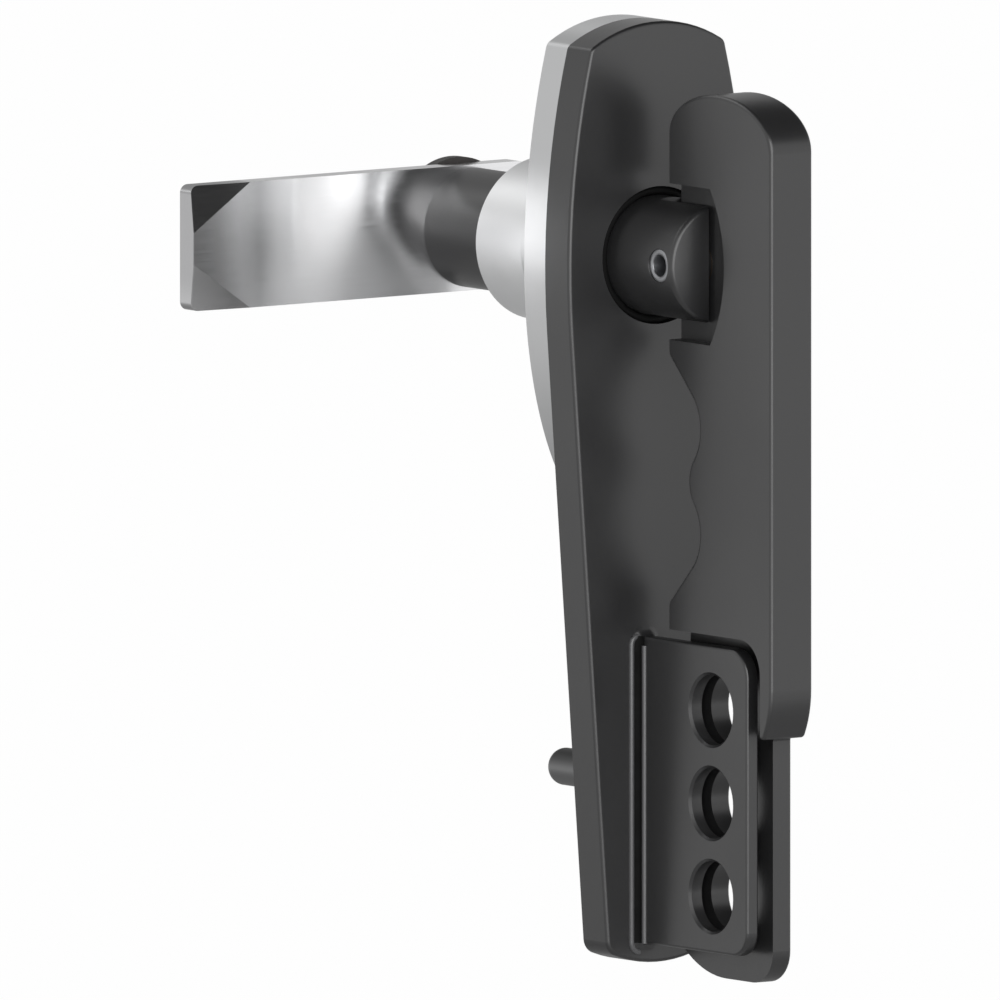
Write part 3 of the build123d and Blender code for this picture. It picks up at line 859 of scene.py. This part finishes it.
class LOCK_OT_cam_bolt(bpy.types.Operator):
    """Build the hexagon bolt that clamps the cam"""

    bl_idname = "lock.cam_bolt"
    bl_label = "Cam bolt"

    def execute(self, context):
        sizes = context.scene.lock_fasteners
        _, high, extent = size_of("cam_bolt")
        corner = extent.x / 2
        flat = corner * math.cos(math.radians(30))
        height = sizes.head_height
        length = extent.y - height
        tip_chamfer = 0.0008
        chamfer_start = 0.97
        dish_border, dish_depth = 0.0012, 0.00025
        overlap = 1e-5
        bm = bmesh.new()
        bmesh.ops.create_cone(
            bm, cap_ends=True, segments=6, radius1=corner, radius2=corner, depth=height
        )
        bmesh.ops.rotate(bm, verts=bm.verts[:], matrix=Matrix.Rotation(math.pi / 2, 3, "Z"))
        bmesh.ops.translate(bm, verts=bm.verts[:], vec=(0, 0, height / 2))
        upright = [e for e in bm.edges if abs((e.verts[0].co - e.verts[1].co).z) > height / 2]
        bmesh.ops.bevel(
            bm,
            geom=upright,
            offset=sizes.head_round,
            affect="EDGES",
            segments=2,
            profile=0.5,
            material=-1,
        )
        cut_cone(bm, flat * chamfer_start, height, sizes.head_chamfer, cuts=60)
        top = [f for f in bm.faces if f.calc_center_median().z > height - 1e-6]
        bmesh.ops.inset_region(bm, faces=top, thickness=dish_border, depth=-dish_depth)
        shank = bmesh.ops.create_cone(
            bm,
            cap_ends=True,
            segments=48,
            radius1=sizes.shank_diameter / 2,
            radius2=sizes.shank_diameter / 2,
            depth=length,
        )["verts"]
        bmesh.ops.translate(bm, verts=shank, vec=(0, 0, overlap - length / 2))
        near_tip = 1e-4 - length
        tip_edges = [e for e in bm.edges if all(v.co.z < near_tip for v in e.verts)]
        bmesh.ops.bevel(
            bm,
            geom=tip_edges,
            offset=tip_chamfer,
            affect="EDGES",
            segments=1,
            profile=0.5,
            material=-1,
        )
        for vert in bm.verts:
            vert.co.z = max(vert.co.z, -length)
        bmesh.ops.rotate(bm, verts=bm.verts[:], matrix=Matrix.Rotation(-math.pi / 2, 3, "X"))
        bmesh.ops.translate(bm, verts=bm.verts[:], vec=(0, high.y - height, 0))
        steel = zinc_steel(context.scene.lock_finish, "bolt_steel")
        piece = finished_piece(bm, "cam_bolt_head_and_shank", steel, "rotor")
        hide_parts("cam_bolt")
        return {"FINISHED"}


class LOCK_OT_spring_washer(bpy.types.Operator):
    """Build the split spring washer under the bolt head"""

    bl_idname = "lock.spring_washer"
    bl_label = "Spring washer"

    def execute(self, context):
        sizes = context.scene.lock_fasteners
        low, high, extent = size_of("spring_washer")
        outer = extent.z / 2
        inner = sizes.washer_bore / 2
        soft = 0.00022
        front, back = low.y, high.y
        profile = [
            (inner, front + soft, 0),
            (inner + soft, front, 0),
            (outer - soft, front, 0),
            (outer, front + soft, 0),
            (outer, back - soft, 0),
            (outer - soft, back, 0),
            (inner + soft, back, 0),
            (inner, back - soft, 0),
        ]
        bm = bmesh.new()
        gap = sizes.washer_slit / outer
        split_ring(bm, profile, (0, 0, 0), Vector((0, 1, 0)), gap, sizes.facets)
        steel = zinc_steel(context.scene.lock_finish, "spring_washer_steel")
        piece = finished_piece(bm, "split_spring_washer", steel, "rotor")
        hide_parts("spring_washer")
        return {"FINISHED"}


class LOCK_OT_pivot_pin(bpy.types.Operator):
    """Build the hollow pin that the blade lifts on"""

    bl_idname = "lock.pivot_pin"
    bl_label = "Pivot pin"

    def execute(self, context):
        sizes = context.scene.lock_fasteners
        low, high, extent = size_of("pivot_pin")
        outer = extent.z / 2
        inner = outer - sizes.pin_wall
        centre = (low + high) / 2
        soft = 0.0003
        knee = soft * 0.3
        half = extent.x / 2
        rounds = (
            (half - soft, outer),
            (half - knee, outer - knee),
            (half, outer - soft),
            (half, inner + soft),
            (half - knee, inner + knee),
            (half - soft, inner),
        )
        right = [(centre.x + across, centre.y, radius) for across, radius in rounds]
        left = [(centre.x - across, centre.y, radius) for across, radius in reversed(rounds)]
        bm = bmesh.new()
        corners, edges = wire_profile(bm, right + left)
        bmesh.ops.spin(
            bm,
            geom=corners + edges,
            cent=centre,
            axis=(1, 0, 0),
            angle=math.tau,
            steps=sizes.facets,
            use_merge=True,
        )
        steel = zinc_steel(context.scene.lock_finish, "pin_steel", axis="X", tone=0.6)
        piece = finished_piece(bm, "hollow_pivot_pin", steel, "rotor")
        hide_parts("pivot_pin")
        return {"FINISHED"}


class LOCK_OT_base_screws(bpy.types.Operator):
    """Build the countersunk screws in the back of the flange"""

    bl_idname = "lock.base_screws"
    bl_label = "Base screws"

    # Places of the three screws in the flange, across and upwards.
    places = ((0.0, 0.029), (-0.009, -0.026), (0.009, -0.026))

    def execute(self, context):
        sizes = context.scene.lock_fasteners
        length = size_of("base_screws")[2].y
        bm = bmesh.new()
        for x, z in self.places:
            self.add_screw(bm, x, z, length, sizes)
        steel = zinc_steel(context.scene.lock_finish, "screw_steel")
        piece = finished_piece(bm, "countersunk_base_screws", steel, "housing")
        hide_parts("base_screws")
        return {"FINISHED"}

    def add_screw(self, bm, x, z, length, sizes):
        """One screw, drawn upright from its socket outwards and then laid on its side."""
        head = sizes.screw_head / 2
        shank = sizes.screw_shank / 2
        socket_corner = sizes.socket_width / 2 / math.cos(math.pi / 6)
        socket_depth, socket_taper = 0.0016, 0.98
        lip, cone = 0.0001, 0.0020
        point, point_taper = 0.0005, 0.75
        steps_per_flat = 8
        hexagon = bmesh.ops.create_circle(bm, segments=6, radius=socket_corner)
        hexagon_edges = list({e for v in hexagon["verts"] for e in v.link_edges})
        bmesh.ops.subdivide_edges(bm, edges=hexagon_edges, cuts=steps_per_flat - 1)
        mouth = list({e for v in bm.verts if not v.tag for e in v.link_edges})
        rim = bmesh.ops.create_circle(bm, segments=6 * steps_per_flat, radius=head - lip)
        rim_edges = list({e for v in rim["verts"] for e in v.link_edges})
        bmesh.ops.bridge_loops(bm, edges=mouth + rim_edges)
        self.extrude_loop(bm, mouth, socket_depth, socket_taper, close=True)
        edges = self.extrude_loop(bm, rim_edges, lip, head / (head - lip))
        edges = self.extrude_loop(bm, edges, cone, shank / head)
        edges = self.extrude_loop(bm, edges, length - lip - cone - point, 1.0)
        self.extrude_loop(bm, edges, point, point_taper, close=True)
        linked = [v for v in bm.verts if not v.tag]
        turn = Matrix.Rotation(-math.pi / 2, 3, "X")
        bmesh.ops.rotate(bm, verts=linked, matrix=turn)
        bmesh.ops.translate(bm, verts=linked, vec=(x, 0, z))
        for vert in linked:
            vert.tag = True

    def extrude_loop(self, bm, edges, down, widen, close=False):
        """Extrudes a ring of edges downwards, scales it and may close it."""
        made = bmesh.ops.extrude_edge_only(bm, edges=edges)["geom"]
        verts = [g for g in made if isinstance(g, bmesh.types.BMVert)]
        new_edges = [
            g
            for g in made
            if isinstance(g, bmesh.types.BMEdge) and all(v in verts for v in g.verts)
        ]
        bmesh.ops.translate(bm, verts=verts, vec=(0, 0, -down))
        bmesh.ops.scale(bm, verts=verts, vec=(widen, widen, 1.0))
        if close:
            bmesh.ops.holes_fill(bm, edges=new_edges, sides=0)
        return new_edges


class LOCK_OT_studio(bpy.types.Operator):
    """Set up the floor, the soft lights, the surroundings and the camera"""

    bl_idname = "lock.studio"
    bl_label = "Studio"

    # The lights aim at the first point, and the view is framed from the second.
    lit_point = (0.0, -0.0125, -0.03)
    framed_point = (0.0, -0.0125, 0.0)
    camera_distance = 1.2
    # Name, place, width and power setting of each soft light.
    lamps = (
        ("key_light", (-0.45, -1.00, 0.26), 1.10, "key_power"),
        ("back_light", (-0.35, 0.75, 0.85), 0.55, "back_power"),
    )

    def execute(self, context):
        settings = context.scene.lock_studio
        self.floor(context, settings)
        self.surroundings(context, settings)
        for name, place, width, power in self.lamps:
            self.lamp(context, name, place, width, getattr(settings, power))
        self.camera(context, settings)
        context.scene.view_settings.view_transform = "Standard"
        return {"FINISHED"}

    def ray_kinds(self, graph):
        return graph.add("LightPath").outputs

    def show(self, graph, factor, plain, white, out):
        """Shows one shader where the factor is 0 and the other where it is 1."""
        mix = graph.add("MixShader")
        graph.link(factor, mix.inputs["Fac"])
        graph.link(plain.outputs[0], mix.inputs[1])
        graph.link(white.outputs[0], mix.inputs[2])
        graph.link(mix.outputs[0], out.inputs["Surface"])

    def paler_away(self, graph):
        """White for the camera; in reflections greyer close to the lock as a painted shadow, and
        paler in front as painted light.
        """
        place = graph.add("TexCoord").outputs["Object"]
        reach = graph.vector_value("LENGTH", place)
        depth = graph.split(place)["Y"]
        # Painted shadow near the lock and painted light in front, in the floor's glow for
        # reflections.
        far = graph.spread(reach, low=0.38, high=1.0, start=0.50, end=1.60)
        forward = graph.spread(depth, low=1.08, high=0.92, start=-1.0, end=1.0)
        kinds = self.ray_kinds(graph)
        return graph.share(kinds["Is Camera Ray"], graph.weigh(far, forward), 1.0)

    def floor(self, context, settings):
        """Pale floor that keeps a trace of the shadow."""
        bm = bmesh.new()
        bmesh.ops.create_circle(bm, cap_ends=True, segments=96, radius=7.0)
        bmesh.ops.translate(bm, verts=bm.verts[:], vec=(0, 0, settings.floor_height))
        mesh = bpy.data.meshes.new("studio_floor")
        bm.to_mesh(mesh)
        bm.free()
        floor = bpy.data.objects.new("studio_floor", mesh)
        context.scene.collection.objects.link(floor)
        material = bpy.data.materials.new("pale_floor")
        material.use_nodes = True
        graph = Graph(material.node_tree)
        shader = graph.tree.nodes["Principled BSDF"]
        shader.inputs["Base Color"].default_value = (0.9, 0.9, 0.9, 1.0)
        shader.inputs["Roughness"].default_value = 0.9
        glow = graph.add("Emission")
        graph.link(self.paler_away(graph), glow.inputs["Strength"])
        kinds = self.ray_kinds(graph)
        seen = graph.weigh(kinds["Is Camera Ray"], kinds["Is Glossy Ray"], "MAXIMUM")
        seen = graph.weigh(seen, kinds["Is Transmission Ray"], "MAXIMUM")
        glow_share = 0.99
        factor = graph.weigh(seen, glow_share)
        self.show(graph, factor, shader, glow, graph.tree.nodes["Material Output"])
        material.cycles.emission_sampling = "NONE"
        mesh.materials.append(material)

    def surroundings(self, context, settings):
        """White round the lock, under ceilings that are dim from above and in reflections."""
        world = bpy.data.worlds.new("studio_surroundings")
        world.use_nodes = True
        graph = Graph(world.node_tree)
        graph.tree.nodes.clear()
        out = graph.add("OutputWorld")
        soft = graph.add("Background")
        soft.inputs["Color"].default_value = (1.0, 1.0, 1.0, 1.0)
        pale = graph.add("Background")
        pale.inputs["Color"].default_value = (0.8, 0.8, 0.8, 1.0)
        pale.inputs["Strength"].default_value = 1.0
        direction = graph.add("TexCoord").outputs["Generated"]
        axes = graph.split(direction)
        low_ceiling = graph.spread(axes["Z"], low=1.0, high=0.05, start=0.0, end=0.065)
        graph.link(graph.weigh(low_ceiling, settings.fill), soft.inputs["Strength"])

        backward = (-math.sin(settings.azimuth), math.cos(settings.azimuth), 0.0)
        heading = graph.vector_value("DOT_PRODUCT", direction, backward)
        behind = graph.spread(heading, low=0.0, high=0.35, start=0.26, end=0.44)
        lowered = graph.spread(axes["X"], low=0.0, high=0.28, start=0.30, end=0.50)
        raised = graph.weigh(axes["Z"], lowered, "ADD")
        high_ceiling = graph.spread(raised, low=1.0, high=0.03, start=0.64, end=0.88)
        reflected = graph.weigh(graph.share(behind, 1.0, low_ceiling), high_ceiling)

        kinds = self.ray_kinds(graph)
        seen = graph.weigh(kinds["Is Camera Ray"], kinds["Is Transmission Ray"], "MAXIMUM")
        glossy = graph.weigh(kinds["Is Glossy Ray"], reflected)
        self.show(graph, graph.weigh(seen, glossy, "MAXIMUM"), soft, pale, out)
        world.cycles.sampling_method = "NONE"
        context.scene.world = world

    def lamp(self, context, name, place, width, power):
        light = bpy.data.lights.new(name, "AREA")
        light.shape = "SQUARE"
        light.size = width
        light.energy = power
        lamp = bpy.data.objects.new(name, light)
        lamp.location = place
        aim = Vector(self.lit_point) - Vector(place)
        lamp.rotation_euler = aim.to_track_quat("-Z", "Y").to_euler()
        context.scene.collection.objects.link(lamp)

    def camera(self, context, settings):
        turn, rise = settings.azimuth, settings.elevation
        back = Vector(
            (
                math.sin(turn) * math.cos(rise),
                -math.cos(turn) * math.cos(rise),
                math.sin(rise),
            )
        )
        right = Vector((math.cos(turn), math.sin(turn), 0))
        up = back.cross(right)
        target = Vector(self.framed_point) + right * settings.across + up * settings.above
        view = bpy.data.cameras.new("view")
        view.type = "ORTHO"
        view.ortho_scale = settings.width
        view.clip_end = 20.0
        camera = bpy.data.objects.new("view", view)
        turned = Matrix((right, up, back)).transposed().to_4x4()
        camera.matrix_world = Matrix.Translation(target + back * self.camera_distance) @ turned
        context.scene.collection.objects.link(camera)
        context.scene.camera = camera


class LOCK_PT_panel(bpy.types.Panel):
    """Builds and finishes the lock piece by piece"""

    bl_idname = "LOCK_PT_panel"
    bl_label = "Handle Lock"
    bl_space_type = "VIEW_3D"
    bl_region_type = "UI"
    bl_category = "Handle Lock"

    def draw(self, context):
        layout = self.layout
        for step in steps:
            layout.operator(step.bl_idname)
        for title, group in (
            ("Fasteners", context.scene.lock_fasteners),
            ("Finishes", context.scene.lock_finish),
            ("Studio", context.scene.lock_studio),
        ):
            box = layout.box()
            box.label(text=title)
            for name in group.__annotations__:
                box.prop(group, name)


steps = (
    LOCK_OT_black_castings,
    LOCK_OT_fin_root,
    LOCK_OT_flange,
    LOCK_OT_cam,
    LOCK_OT_bearings,
    LOCK_OT_cam_bolt,
    LOCK_OT_spring_washer,
    LOCK_OT_pivot_pin,
    LOCK_OT_base_screws,
    LOCK_OT_studio,
)
classes = (FastenerSettings, FinishSettings, StudioSettings, *steps, LOCK_PT_panel)


def register():
    for item in classes:
        bpy.utils.register_class(item)
    bpy.types.Scene.lock_fasteners = PointerProperty(type=FastenerSettings)
    bpy.types.Scene.lock_finish = PointerProperty(type=FinishSettings)
    bpy.types.Scene.lock_studio = PointerProperty(type=StudioSettings)


def unregister():
    del bpy.types.Scene.lock_studio
    del bpy.types.Scene.lock_finish
    del bpy.types.Scene.lock_fasteners
    for item in reversed(classes):
        bpy.utils.unregister_class(item)


def main():
    register()
    bpy.ops.lock.black_castings()
    bpy.ops.lock.fin_root()
    bpy.ops.lock.flange()
    bpy.ops.lock.cam()
    bpy.ops.lock.bearings()
    bpy.ops.lock.cam_bolt()
    bpy.ops.lock.spring_washer()
    bpy.ops.lock.pivot_pin()
    bpy.ops.lock.base_screws()
    bpy.ops.lock.studio()


if __name__ == "__main__":
    main()
